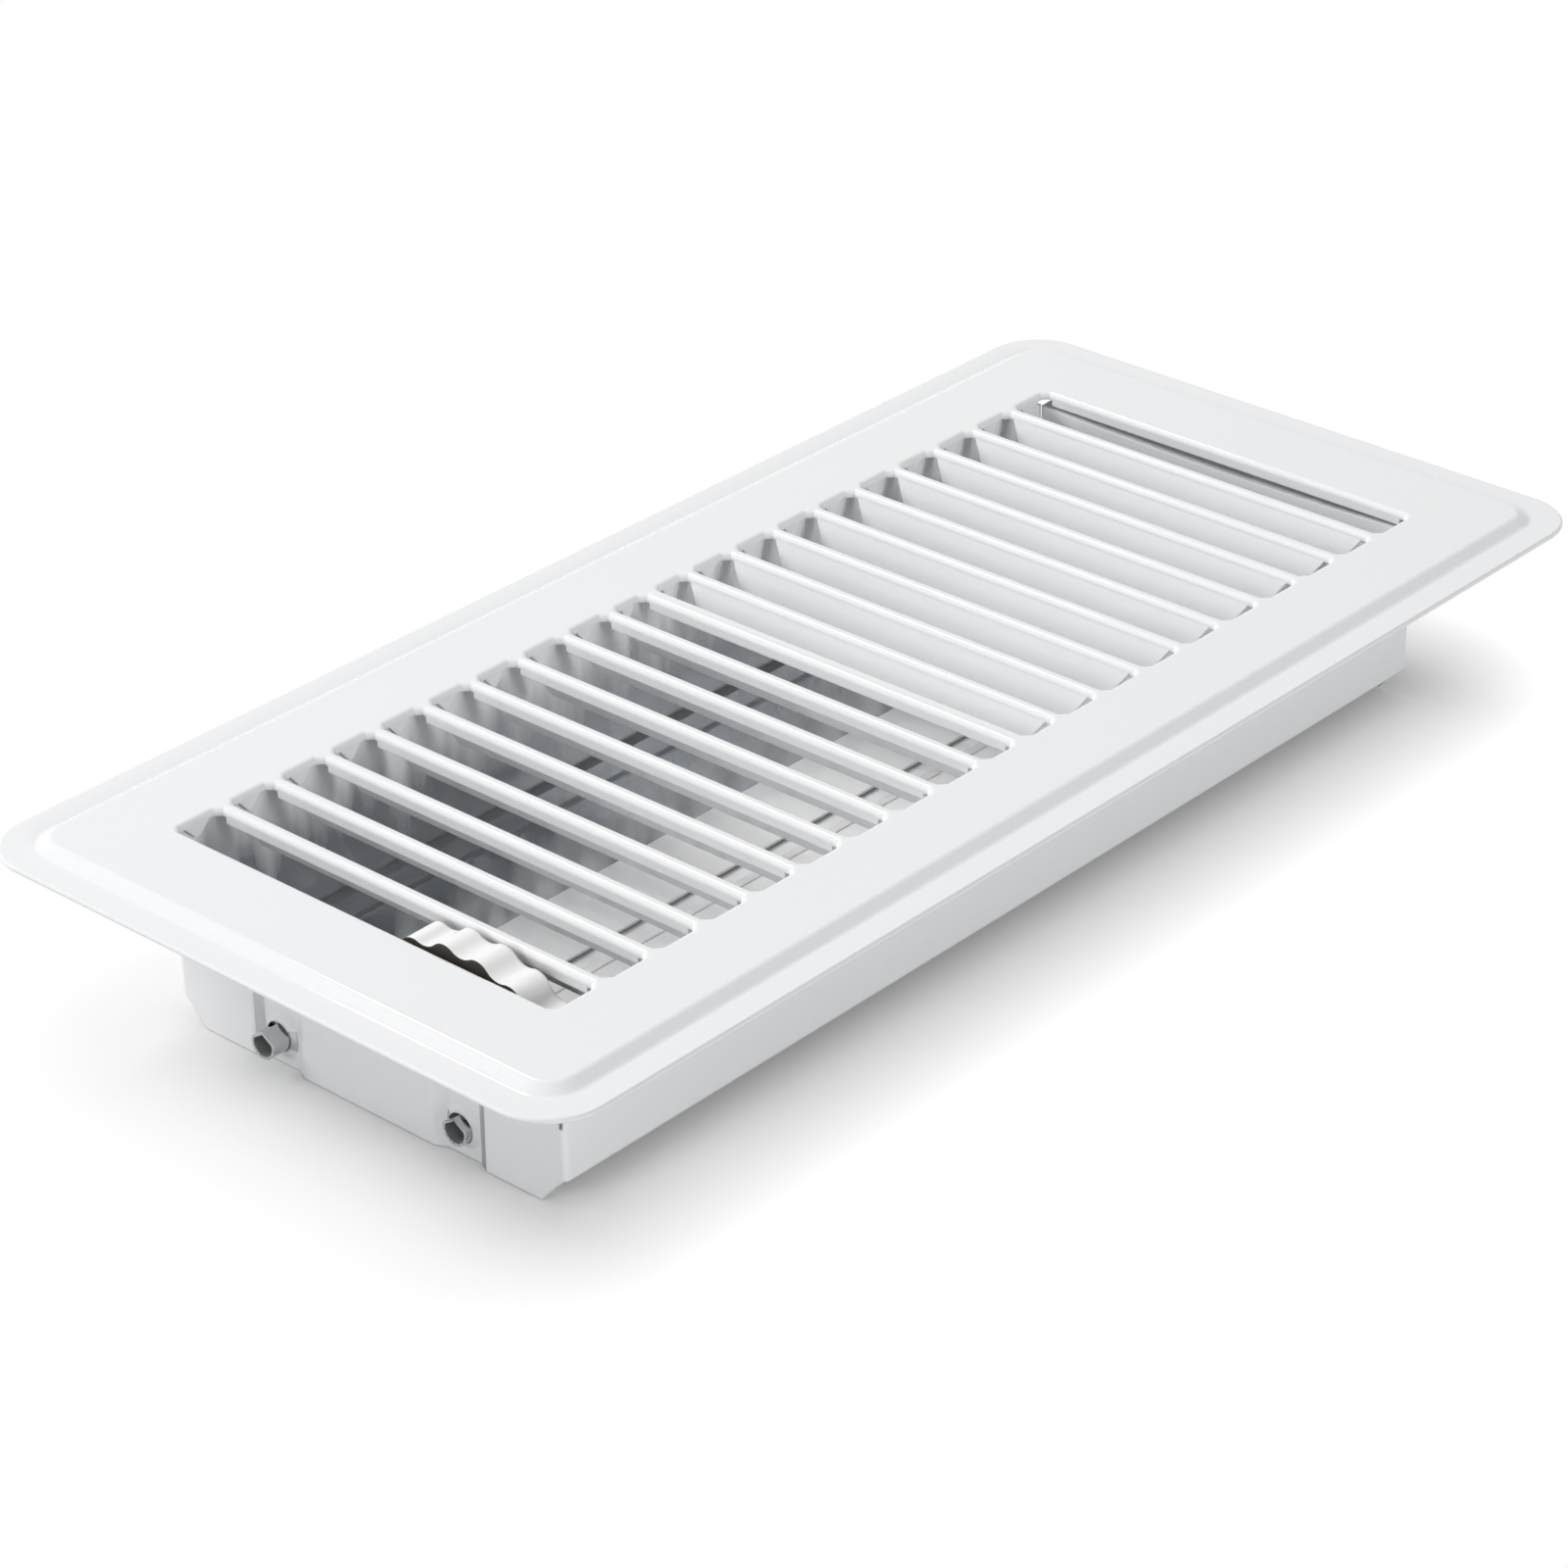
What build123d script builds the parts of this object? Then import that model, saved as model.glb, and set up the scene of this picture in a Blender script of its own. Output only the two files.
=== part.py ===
from build123d import *

import math
import os

# Steel floor register: a louvered faceplate over a drop-in box with two linked damper blades.
# Millimetres, +Z up, length along X, thumbwheel at -X, box bottom at z = 0.

# Faceplate
PLATE_LENGTH = 292.1
PLATE_WIDTH = 139.7
PLATE_GAUGE = 0.8
PLATE_CORNER = 11.5
RIM_CHAMFER = 0.3
FLANGE_BAND = 5.9
BEVEL_RUN = 2.3
PANEL_RISE = 1.5
PANEL_CORNER = 5.0
BEVEL_ROUND = 1.6
BOX_DROP = 36.75

# Louvers
SLOT_LENGTH = 90.8
SLOT_CORNER = 1.9
CORNER_STEPS = 2
SLOT_ROUND = 1.1
BEND_DEPTH = 1.4
END_SLOT = 10.0
LOUVER_PITCH = 12.25
BAR_WIDTH = 2.8
CENTRE_BAR = 3.7
LIP_DEPTH = 2.7
FLAP_DEPTH = 3.9
FLAP_TIP = 0.8
LEG_DEPTH = 7.2
LEG_LEAN = 20.0
LEG_END_SLOPE = 33.0
SMALLEST_SLOT = 4.0

# Damper box
BOX_LENGTH = 241.3
BOX_GAUGE = 0.6
BOX_BEND = 1.1
FIELD_INSET = 0.2
RIM_CLEARANCE = 0.3
TOP_FLANGE = 6.0
SIDE_LIFT = 5.9
CORNER_CUT = 5.9
END_DIP = 1.0
SLIT_WIDTH = 0.6
SLIT_BOTTOM = 16.0
CHANNEL_WIDTH = 12.6
CHANNEL_DEPTH = 1.2
CHANNEL_SLOPE = 2.6
CHANNEL_ROUND = 2.0
CHANNEL_HEIGHT = 26.0
FLARE_ROOT = 1.3
FLARE_TIP = -0.2

# Damper blades
BLADE_GAUGE = 0.5
SHAFT_SPREAD = 44.5
SHAFT_HEIGHT = 6.05
TUBE_RADIUS = 2.8
TUBE_PEAK = 2.7
TUBE_ROOF = 33.0
SHAFT_CLEARANCE = 0.08
BLADE_RISE = 3.1
BLADE_FRONT = 23.9
BLADE_REAR = 22.6
LAP_START = 14.5
LAP_RUN = 2.7
LAP_DROP = 0.9
CREASE_AT = 14.2
CREASE_WIDTH = 0.5
CREASE_DEPTH = 0.3
BLADE_END_GAP = 1.3
FRONT_STUB = 1.2
REAR_STUB = 3.6
FAR_STUB = 1.5

# Thumbwheel
WHEEL_RADIUS = 33.8
WAVE_HEIGHT = 0.65
WAVE_PITCH = 13.8
WHEEL_FIRST_WAVE = 19.3
WHEEL_REAR_END = 22.75
WHEEL_FRONT_END = -40.0
WHEEL_WIDTH = 5.35
WHEEL_WEB = 2.4
WHEEL_RIM = 3.2
HUB_RADIUS = 5.4
HUB_CLEARANCE = 0.05
NOTCH_GAP = 1.1
WALL_GAP = 1.1
RIM_GAP = 0.75

# Link wire
WIRE_RADIUS = 1.0
WIRE_CLEARANCE = 0.1
WIRE_BEND = 2.2
WIRE_TAIL = 1.5
WIRE_GAP = 0.5
EAR_ARM = 10.0
EAR_ANGLE = 120.0
EAR_RADIUS = 2.8
EAR_FOOT = 9.0

# Worked-out sizes
PANEL_TOP = BOX_DROP + PLATE_GAUGE + PANEL_RISE
PANEL_UNDER = PANEL_TOP - PLATE_GAUGE
FIELD_HALF = BOX_LENGTH / 2 - FIELD_INSET
BOX_WIDTH = SLOT_LENGTH + 2 * (PLATE_GAUGE + RIM_CLEARANCE + BOX_GAUGE)
LEG_HALF = SLOT_LENGTH / 2 - SLOT_CORNER
END_WALL_TOP = PANEL_TOP - LIP_DEPTH - RIM_CLEARANCE
WALL_INNER = BOX_LENGTH / 2 - BOX_GAUGE - CHANNEL_DEPTH
SHAFT_Y = SHAFT_SPREAD / 2
HOLE_RADIUS = TUBE_RADIUS + SHAFT_CLEARANCE
RIM_NEAR = -BOX_LENGTH / 2 + BOX_GAUGE + RIM_GAP
WHEEL_NEAR = -WALL_INNER + WALL_GAP
WHEEL_FAR = WHEEL_NEAR + WHEEL_WIDTH
WIRE_X = WHEEL_FAR + WIRE_GAP + WIRE_RADIUS
BLADE_NEAR = WIRE_X + WIRE_BEND + WIRE_GAP
BLADE_END = WALL_INNER - BLADE_END_GAP
EAR_Y = EAR_ARM * math.cos(math.radians(EAR_ANGLE))
EAR_Z = EAR_ARM * math.sin(math.radians(EAR_ANGLE))


def bar_edges():
    """Near and far edges of the louver bars of the near half, from the end to the middle."""
    start = -FIELD_HALF + END_SLOT
    room = -CENTRE_BAR / 2 - SMALLEST_SLOT - BAR_WIDTH - start
    count = int(room / LOUVER_PITCH) + 1
    bars = [(start + i * LOUVER_PITCH, start + i * LOUVER_PITCH + BAR_WIDTH) for i in range(count)]
    return bars + [(-CENTRE_BAR / 2, CENTRE_BAR / 2)]


def both_halves(shapes):
    """The given shapes of the near half and their mirror images."""
    return shapes + [mirror(shape, Plane.YZ) for shape in shapes]


def slot_block(near, far, grow):
    """Block through the panel and its bend: a slot, or the bend's outside if it is grown by the gauge."""
    corners = 4 * round(CORNER_STEPS)
    reach = (SLOT_CORNER + grow) / math.cos(math.pi / corners)
    points = []
    for i in range(corners):
        turn = 2 * math.pi * (i + 0.5) / corners
        x = math.copysign((far - near) / 2 - SLOT_CORNER, math.cos(turn))
        y = math.copysign(LEG_HALF, math.sin(turn))
        points.append((x + reach * math.cos(turn), y + reach * math.sin(turn)))
    return extrude(Pos((near + far) / 2, 0, PANEL_TOP) * Polygon(*points, align=None), -BEND_DEPTH)


def bend_relief(edge):
    """The straight sheet below a bar's far bend, which makes way for the leg."""
    depth = BEND_DEPTH - SLOT_ROUND
    middle = PANEL_TOP - SLOT_ROUND - depth / 2
    return Pos(edge - PLATE_GAUGE / 2, 0, middle) * Box(PLATE_GAUGE, 2 * LEG_HALF, depth)


def edge_lip(edge, outward):
    """Short upright lip below a slot's long edge, with its sheet on the given side of the edge."""
    depth = LIP_DEPTH - SLOT_ROUND
    middle = PANEL_TOP - SLOT_ROUND - depth / 2
    return Pos(edge + outward * PLATE_GAUGE / 2, 0, middle) * Box(PLATE_GAUGE, 2 * LEG_HALF, depth)


def end_flap(near, far):
    """Pointed flap turned down at the rear end of a slot."""
    top = PANEL_TOP - SLOT_ROUND
    low = PANEL_TOP - FLAP_DEPTH
    middle = (near + far) / 2
    outline = Polygon(
        (near + SLOT_CORNER, top), (middle - FLAP_TIP / 2, low), (middle + FLAP_TIP / 2, low),
        (far - SLOT_CORNER, top), align=None,
    )
    return extrude(Plane.XZ.offset(-SLOT_LENGTH / 2) * outline, -PLATE_GAUGE)


def louver_leg(edge):
    """Long leg of a bar: a leaning strip with sloped ends, carried on from the bar's far bend."""
    drop = LEG_DEPTH - SLOT_ROUND
    thick = PLATE_GAUGE / math.cos(math.radians(LEG_LEAN))
    shorter = drop * math.tan(math.radians(LEG_END_SLOPE))
    top = Pos(edge - thick / 2, 0, PANEL_TOP - SLOT_ROUND) * Rectangle(thick, 2 * LEG_HALF)
    low_x = edge - thick / 2 + drop * math.tan(math.radians(LEG_LEAN))
    low = Pos(low_x, 0, PANEL_TOP - LEG_DEPTH) * Rectangle(thick, 2 * (LEG_HALF - shorter))
    return loft([top, low], ruled=True)


def make_faceplate():
    """One stamped sheet: flat rim, bevel, raised panel, slot edges with lips and flaps, and leaning legs."""
    inset = FLANGE_BAND + BEVEL_RUN
    shift = PLATE_GAUGE * math.tan(math.atan2(PANEL_RISE, BEVEL_RUN) / 2)

    def ring(step, corner, z):
        return Pos(0, 0, z) * RectangleRounded(PLATE_LENGTH - 2 * step, PLATE_WIDTH - 2 * step, corner)

    def top_face(shape):
        return shape.faces().filter_by(Axis.Z).sort_by(Axis.Z)[-1]

    flange_top = BOX_DROP + PLATE_GAUGE
    low_corner = PANEL_CORNER + BEVEL_RUN
    rim = extrude(ring(0, PLATE_CORNER, BOX_DROP), PLATE_GAUGE)
    rim = chamfer(top_face(rim).edges(), RIM_CHAMFER)
    dome = loft([ring(FLANGE_BAND, low_corner, flange_top), ring(inset, PANEL_CORNER, PANEL_TOP)])
    dome = fillet(top_face(dome).edges(), BEVEL_ROUND)
    sheet = rim + dome
    flange = sheet.faces().filter_by(Axis.Z).filter_by_position(Axis.Z, flange_top, flange_top)[0]
    sheet = fillet(flange.inner_wires()[0].edges(), BEVEL_ROUND)
    sheet -= loft([
        ring(FLANGE_BAND + shift, low_corner - shift, BOX_DROP),
        ring(inset + shift, PANEL_CORNER - shift, PANEL_UNDER),
    ])

    bars = bar_edges()
    starts = [-FIELD_HALF] + [far for near, far in bars[:-1]]
    ends = [near for near, far in bars]
    slots = list(zip(starts, ends))
    sheet += both_halves([slot_block(near, far, PLATE_GAUGE) for near, far in slots])
    sheet -= both_halves([slot_block(near, far, 0) for near, far in slots])
    sheet = fillet([edge for wire in top_face(sheet).inner_wires() for edge in wire.edges()], SLOT_ROUND)

    flaps = [end_flap(near, far) for near, far in slots]
    flaps += [mirror(flap, Plane.XZ) for flap in flaps]
    lips = [edge_lip(-FIELD_HALF, -1)] + [edge_lip(near, 1) for near, far in bars]
    legs = [louver_leg(far) for near, far in bars[:-1]]
    sheet -= both_halves([bend_relief(far) for near, far in bars[:-1]])
    return sheet + both_halves(flaps + lips + legs)


def channel(y, grow):
    """Block of one channel in the near end wall: its recess, or its inner side if grown by the gauge."""
    edge = -BOX_LENGTH / 2
    floor = edge + CHANNEL_DEPTH
    half = CHANNEL_WIDTH / 2
    skirt = half + CHANNEL_ROUND
    outline = Polygon(
        (edge - CHANNEL_DEPTH, y - skirt), (edge, y - skirt), (edge, y - half),
        (floor, y - half + CHANNEL_SLOPE), (floor, y + half - CHANNEL_SLOPE),
        (edge, y + half), (edge, y + skirt), (edge - CHANNEL_DEPTH, y + skirt), align=None,
    )
    bends = outline.vertices().filter_by_position(Axis.Y, y - half, y + half)
    outline = fillet(bends, CHANNEL_ROUND)
    if grow:
        outline = offset(outline, grow)
    top = CHANNEL_HEIGHT + grow
    reach = 2 * CHANNEL_DEPTH
    wedge = Polygon((edge, top), (edge + reach, top), (edge + reach, top - 2 * CHANNEL_SLOPE), align=None)
    return extrude(outline, top) - extrude(Plane.XZ * wedge, BOX_WIDTH, both=True)


def make_damper_box():
    """One folded sheet: four walls, corner slits, top flanges, end-wall channels and flared shaft holes."""
    half = BOX_WIDTH / 2
    end = -BOX_LENGTH / 2

    def tube(shrink, z0, z1):
        outline = RectangleRounded(BOX_LENGTH - 2 * shrink, BOX_WIDTH - 2 * shrink, BOX_BEND - shrink)
        return extrude(Pos(0, 0, z0) * outline, z1 - z0)

    def sag(drop):
        z = END_WALL_TOP - drop
        return ThreePointArc((-half, z), (0, z - END_DIP), (half, z))

    block = tube(0, 0, PANEL_UNDER)
    box = block - tube(BOX_GAUGE, -BOX_GAUGE, PANEL_TOP)
    for y in (-SHAFT_Y, SHAFT_Y):
        recess = channel(y, 0)
        shaft = Pos(end + CHANNEL_DEPTH / 2, y, SHAFT_HEIGHT) * Rot(0, -90, 0)
        flare = shaft * Cone(HOLE_RADIUS + FLARE_ROOT, HOLE_RADIUS + FLARE_TIP, CHANNEL_DEPTH)
        hole = shaft * Cylinder(HOLE_RADIUS, 4 * CHANNEL_DEPTH)
        box = box + both_halves([channel(y, BOX_GAUGE) & block]) - both_halves([recess])
        box = box + both_halves([flare]) - both_halves([hole])

    over = Polyline((half, END_WALL_TOP), (half, PANEL_TOP), (-half, PANEL_TOP), (-half, END_WALL_TOP))
    top_cut = extrude(Plane.YZ.offset(end) * make_face([over, sag(0)]), BOX_BEND, both=True)
    box -= both_halves([top_cut])
    strip = make_face([sag(0), sag(BOX_GAUGE), *[
        Line((y, END_WALL_TOP), (y, END_WALL_TOP - BOX_GAUGE)) for y in (-half, half)
    ]])
    strip = strip & Pos(0, END_WALL_TOP) * Rectangle(BOX_WIDTH - 2 * BOX_BEND, BOX_WIDTH)
    end_flange = extrude(Plane.YZ.offset(end + BOX_GAUGE) * strip, -TOP_FLANGE - BOX_GAUGE)
    side_flange = Pos(0, half + TOP_FLANGE / 2 - BOX_GAUGE / 2, PANEL_UNDER - BOX_GAUGE / 2) * Box(
        BOX_LENGTH - 2 * BOX_BEND, TOP_FLANGE + BOX_GAUGE, BOX_GAUGE
    )
    box += both_halves([end_flange]) + [side_flange, mirror(side_flange, Plane.XZ)]

    lower = Polygon(
        (half - CORNER_CUT, 0), (half + BOX_GAUGE, 0), (half + BOX_GAUGE, SIDE_LIFT),
        (half - BOX_GAUGE, SIDE_LIFT), align=None,
    )
    cut = extrude(Plane.YZ * lower, BOX_LENGTH, both=True)
    slit = Pos(end, half - BOX_GAUGE - SLIT_WIDTH / 2, (SLIT_BOTTOM + PANEL_TOP) / 2) * Box(
        2 * BOX_BEND, SLIT_WIDTH, PANEL_TOP - SLIT_BOTTOM
    )
    return box - both_halves([slit, mirror(slit, Plane.XZ)]) - [cut, mirror(cut, Plane.XZ)]


def tube_section(shrink):
    """Section of a blade's rolled tube: round, with two flats that meet in a ridge at the top."""
    slope = math.tan(math.radians(TUBE_ROOF))
    peak = TUBE_PEAK - shrink / math.cos(math.radians(TUBE_ROOF))
    reach = 2 * TUBE_RADIUS
    roof = Polygon((0, peak), (-reach, peak - reach * slope), (-reach, -reach), (reach, -reach),
                   (reach, peak - reach * slope), align=None)
    return Circle(TUBE_RADIUS - shrink) & roof


def make_blade(y, stub):
    """One damper blade: flat sheet with a lapped rear edge, rolled tube, shaft stubs and a link ear."""
    middle = BLADE_RISE - BLADE_GAUGE / 2
    line = Polyline(
        (-BLADE_FRONT, middle), (LAP_START, middle), (LAP_START + LAP_RUN, middle - LAP_DROP),
        (BLADE_REAR, middle - LAP_DROP),
    )
    section = Plane.YZ * trace(line, BLADE_GAUGE)
    sheet = extrude(section, BLADE_END, both=True)
    notch_width = BLADE_FRONT + HUB_RADIUS + NOTCH_GAP
    notch_length = BLADE_END + BLADE_NEAR
    notch_y = HUB_RADIUS + NOTCH_GAP - notch_width / 2
    notch = Box(notch_length, notch_width, BLADE_RISE)
    sheet -= Pos(-BLADE_END + notch_length / 2, notch_y, BLADE_RISE) * notch
    near = -BOX_LENGTH / 2 - stub
    far = BOX_LENGTH / 2 + FAR_STUB
    skin = Pos(near, 0, 0) * extrude(Plane.YZ * tube_section(0), far - near)
    core = Pos(near, 0, 0) * extrude(Plane.YZ * tube_section(BLADE_GAUGE), far - near)
    crease = Pos(0, CREASE_AT, BLADE_RISE) * Box(2 * BLADE_END, CREASE_WIDTH, 2 * CREASE_DEPTH)
    foot = Line((EAR_Y / 2 - EAR_FOOT / 2, middle), (EAR_Y / 2 + EAR_FOOT / 2, middle))
    outline = make_hull(foot.edges() + (Pos(EAR_Y, EAR_Z) * Circle(EAR_RADIUS)).edges())
    outline -= Pos(EAR_Y, EAR_Z) * Circle(WIRE_RADIUS + WIRE_CLEARANCE)
    ear = Pos(BLADE_NEAR, 0, 0) * extrude(Plane.YZ * outline, BLADE_GAUGE)
    blade = sheet + skin - core - crease + ear
    return Pos(0, y, SHAFT_HEIGHT) * blade


def make_thumbwheel():
    """Moulded sector on the front shaft: wavy rim, web recessed on both faces, hub with a keyed bore."""
    def at(angle, radius):
        return radius * math.sin(math.radians(angle)), radius * math.cos(math.radians(angle))

    def rim_radius(angle):
        wave = math.cos(math.radians((angle - WHEEL_FIRST_WAVE) * 360 / WAVE_PITCH))
        return WHEEL_RADIUS + WAVE_HEIGHT * wave

    step = WAVE_PITCH / 4
    arcs = int((WHEEL_REAR_END - WHEEL_FRONT_END) / (2 * step))
    angles = [WHEEL_REAR_END - i * step for i in range(2 * arcs + 1)]
    points = [at(angle, rim_radius(angle)) for angle in angles]
    rim = [ThreePointArc(*points[2 * i:2 * i + 3]) for i in range(arcs)]
    sides = Polyline(points[-1], (0, 0), points[0])
    fan = make_face([*rim, sides]) + Circle(HUB_RADIUS)

    inner = WHEEL_RADIUS - WAVE_HEIGHT - WHEEL_RIM
    margin = math.degrees(WHEEL_RIM / inner)
    swell = ThreePointArc(
        at(WHEEL_REAR_END - margin, inner),
        at((WHEEL_REAR_END + WHEEL_FRONT_END) / 2, inner),
        at(WHEEL_FRONT_END + margin, inner),
    )
    start = at((WHEEL_REAR_END + WHEEL_FRONT_END) / 2, WHEEL_RIM)
    pocket = make_face([swell, Polyline(swell @ 1, start, swell @ 0)]) - Circle(HUB_RADIUS)
    bore = offset(tube_section(0), HUB_CLEARANCE)

    overhang = WHEEL_NEAR - RIM_NEAR
    wheel = Pos(-overhang, 0, 0) * extrude(Plane.YZ * fan, WHEEL_WIDTH + overhang)
    wheel -= Pos(-overhang, 0, 0) * extrude(Plane.YZ * Circle(inner), overhang)
    depth = (WHEEL_WIDTH - WHEEL_WEB) / 2
    wheel -= extrude(Plane.YZ * pocket, depth)
    wheel -= Pos(WHEEL_WIDTH - depth, 0, 0) * extrude(Plane.YZ * pocket, depth)
    wheel -= extrude(Plane.YZ * bore, WHEEL_WIDTH)
    return Pos(WHEEL_NEAR, -SHAFT_Y, SHAFT_HEIGHT) * wheel


def make_link_wire():
    """Bent wire whose two ends pass through the ears of the blades."""
    tail = BLADE_NEAR + BLADE_GAUGE + WIRE_TAIL
    z = SHAFT_HEIGHT + EAR_Z
    front = EAR_Y - SHAFT_Y
    rear = EAR_Y + SHAFT_Y
    path = Polyline(
        (tail, front, z), (WIRE_X + WIRE_BEND, front, z), (WIRE_X, front + WIRE_BEND, z),
        (WIRE_X, rear - WIRE_BEND, z), (WIRE_X + WIRE_BEND, rear, z), (tail, rear, z),
    )
    start = Plane(origin=path @ 0, z_dir=path % 0)
    return sweep(start * Circle(WIRE_RADIUS), path, transition=Transition.RIGHT)


os.makedirs("parts", exist_ok=True)
pieces = {
    "faceplate": make_faceplate(),
    "damper_box": make_damper_box(),
    "front_blade": make_blade(-SHAFT_Y, FRONT_STUB),
    "rear_blade": make_blade(SHAFT_Y, REAR_STUB),
    "thumbwheel": make_thumbwheel(),
    "link_wire": make_link_wire(),
}
for name, shape in pieces.items():
    shape.label = name
    export_step(shape, f"parts/{name}.step")
    print(name, shape.is_valid, round(shape.volume, 1), len(shape.solids()))
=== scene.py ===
"""Floor register: enamelled faceplate and box, zinc damper blades and thumbwheel, on a white set."""
import logging
import math
from dataclasses import dataclass, field
from enum import Enum
from functools import reduce
from typing import Any

import bmesh
import bpy
from mathutils import Matrix, Vector

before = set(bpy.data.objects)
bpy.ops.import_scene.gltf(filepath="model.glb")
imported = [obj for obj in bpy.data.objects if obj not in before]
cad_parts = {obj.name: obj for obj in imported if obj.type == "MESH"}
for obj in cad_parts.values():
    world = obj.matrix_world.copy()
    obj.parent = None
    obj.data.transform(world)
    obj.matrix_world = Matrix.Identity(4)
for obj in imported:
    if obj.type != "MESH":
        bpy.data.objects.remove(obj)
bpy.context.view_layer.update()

MM = 0.001
SHAFT_SPREAD = 44.5 * MM
BEVEL_SAMPLES = 6
COAT_ROUGHNESS = 0.03
NOISE_MEAN = 0.5
WHITE = (1.0, 1.0, 1.0, 1.0)
UP = Vector((0.0, 0.0, 1.0))

# Numbers of the mix node's sockets, whose names repeat for each kind of data
COLOUR_INPUTS = (6, 7)
COLOUR_RESULT = 2
VALUE_INPUTS = (2, 3)
VALUE_RESULT = 0

log = logging.getLogger("floor_register")

Colour = tuple[float, float, float]
Place = tuple[float, float, float]
Scales = tuple[float, float, float]


class Ray(Enum):
    """Rays that see the set as plain white."""

    CAMERA = "Is Camera Ray"
    GLOSSY = "Is Glossy Ray"
    TRANSMISSION = "Is Transmission Ray"


class Socket(Enum):
    """Kinds of socket on a node group."""

    VALUE = "NodeSocketFloat"
    COLOUR = "NodeSocketColor"


@dataclass
class Graph:
    """Adds nodes to one shader tree and joins them.

    Args:
        tree: The node tree that is filled.
    """

    tree: bpy.types.NodeTree

    def add(self, kind: str, inputs: dict[Any, Any] | None = None, **settings: Any) -> bpy.types.Node:
        """Add one node.

        Args:
            kind: Blender's name for the node type.
            inputs: Socket name or number to a value, or to an output socket that is linked to it.
            settings: Properties of the node.

        Returns:
            The new node.
        """
        node = self.tree.nodes.new(kind)
        for name, value in settings.items():
            setattr(node, name, value)
        for key, value in (inputs or {}).items():
            self.feed(node.inputs[key], value)
        return node

    def feed(self, socket: bpy.types.NodeSocket, value: Any) -> None:
        """Link an output to an input socket, or set the input's value.

        Args:
            socket: The input socket.
            value: An output socket or a plain value.
        """
        if isinstance(value, bpy.types.NodeSocket):
            self.tree.links.new(value, socket)
        else:
            socket.default_value = value

    def group(self, tree: bpy.types.NodeTree, inputs: dict[str, Any]) -> dict[str, bpy.types.NodeSocket]:
        """Place a node group.

        Args:
            tree: The group's tree.
            inputs: Input name to a value or an output socket.

        Returns:
            The group's outputs by name.
        """
        node = self.add("ShaderNodeGroup", inputs, node_tree=tree)
        return {socket.name: socket for socket in node.outputs}

    def math(self, operation: str, first: Any, second: Any = 0.0) -> bpy.types.NodeSocket:
        """Add a math node.

        Args:
            operation: The operation's name.
            first: First value or socket.
            second: Second value or socket.

        Returns:
            The result's socket.
        """
        return self.add("ShaderNodeMath", {0: first, 1: second}, operation=operation).outputs[0]

    def product(self, *values: Any) -> bpy.types.NodeSocket:
        """Multiply values, or join masks so that all of them have to hold.

        Args:
            values: Two or more values or sockets.

        Returns:
            The product's socket.
        """
        return reduce(lambda first, second: self.math("MULTIPLY", first, second), values)

    def length(self, first: Any, second: Any) -> bpy.types.NodeSocket:
        """Length of a flat vector.

        Args:
            first: Its first part.
            second: Its second part.

        Returns:
            The length's socket.
        """
        squares = [self.product(part, part) for part in (first, second)]
        return self.math("SQRT", self.math("ADD", *squares))

    def mix_colours(self, share: Any, first: Any, second: Any, blend: str = "MIX") -> bpy.types.NodeSocket:
        """Mix two colours.

        Args:
            share: How much of the second colour shows.
            first: First colour or socket.
            second: Second colour or socket.
            blend: The blend's name.

        Returns:
            The mixed colour's socket.
        """
        inputs = {0: share, COLOUR_INPUTS[0]: first, COLOUR_INPUTS[1]: second}
        return self.add("ShaderNodeMix", inputs, data_type="RGBA", blend_type=blend).outputs[COLOUR_RESULT]

    def mix_values(self, share: Any, first: Any, second: Any) -> bpy.types.NodeSocket:
        """Mix two values.

        Args:
            share: How much of the second value shows.
            first: First value or socket.
            second: Second value or socket.

        Returns:
            The mixed value's socket.
        """
        inputs = {0: share, VALUE_INPUTS[0]: first, VALUE_INPUTS[1]: second}
        return self.add("ShaderNodeMix", inputs, data_type="FLOAT").outputs[VALUE_RESULT]

    def ramp(
        self, value: Any, low: float, high: float, start: float = 0.0, end: float = 1.0
    ) -> bpy.types.NodeSocket:
        """Map a value evenly from one span to another and hold it at both ends.

        Args:
            value: The value's socket.
            low: Value at which the span starts.
            high: Value at which the span ends.
            start: Result at the start.
            end: Result at the end.

        Returns:
            The result's socket.
        """
        inputs = {"Value": value, "From Min": low, "From Max": high, "To Min": start, "To Max": end}
        return self.add("ShaderNodeMapRange", inputs, interpolation_type="LINEAR").outputs[0]

    def noise(self, place: Any, scale: Any, detail: float = 2.0, gain: float = 0.5) -> bpy.types.NodeSocket:
        """Add a noise texture.

        Args:
            place: Where it is read.
            scale: Waves per unit of that place.
            detail: Number of finer layers.
            gain: Weight of each layer against the coarser one before it.

        Returns:
            The noise's socket, from 0 to 1.
        """
        inputs = {"Vector": place, "Scale": scale, "Detail": detail, "Roughness": gain}
        return self.add("ShaderNodeTexNoise", inputs).outputs[0]

    def stretch(self, place: Any, scales: Scales) -> bpy.types.NodeSocket:
        """Scale a place along each axis.

        Args:
            place: The place's socket.
            scales: Factors along x, y and z.

        Returns:
            The scaled place's socket.
        """
        return self.add("ShaderNodeMapping", {"Vector": place, "Scale": scales}).outputs[0]

    def split(self, vector: bpy.types.NodeSocket) -> list[bpy.types.NodeSocket]:
        """The three parts of a vector.

        Args:
            vector: The vector's socket.

        Returns:
            The sockets of x, y and z.
        """
        return list(self.add("ShaderNodeSeparateXYZ", {0: vector}).outputs)

    def place(self) -> bpy.types.NodeSocket:
        """Where the shaded point lies in the part's frame, which rides with a piece that moves."""
        return self.add("ShaderNodeTexCoord").outputs["Object"]

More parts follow.
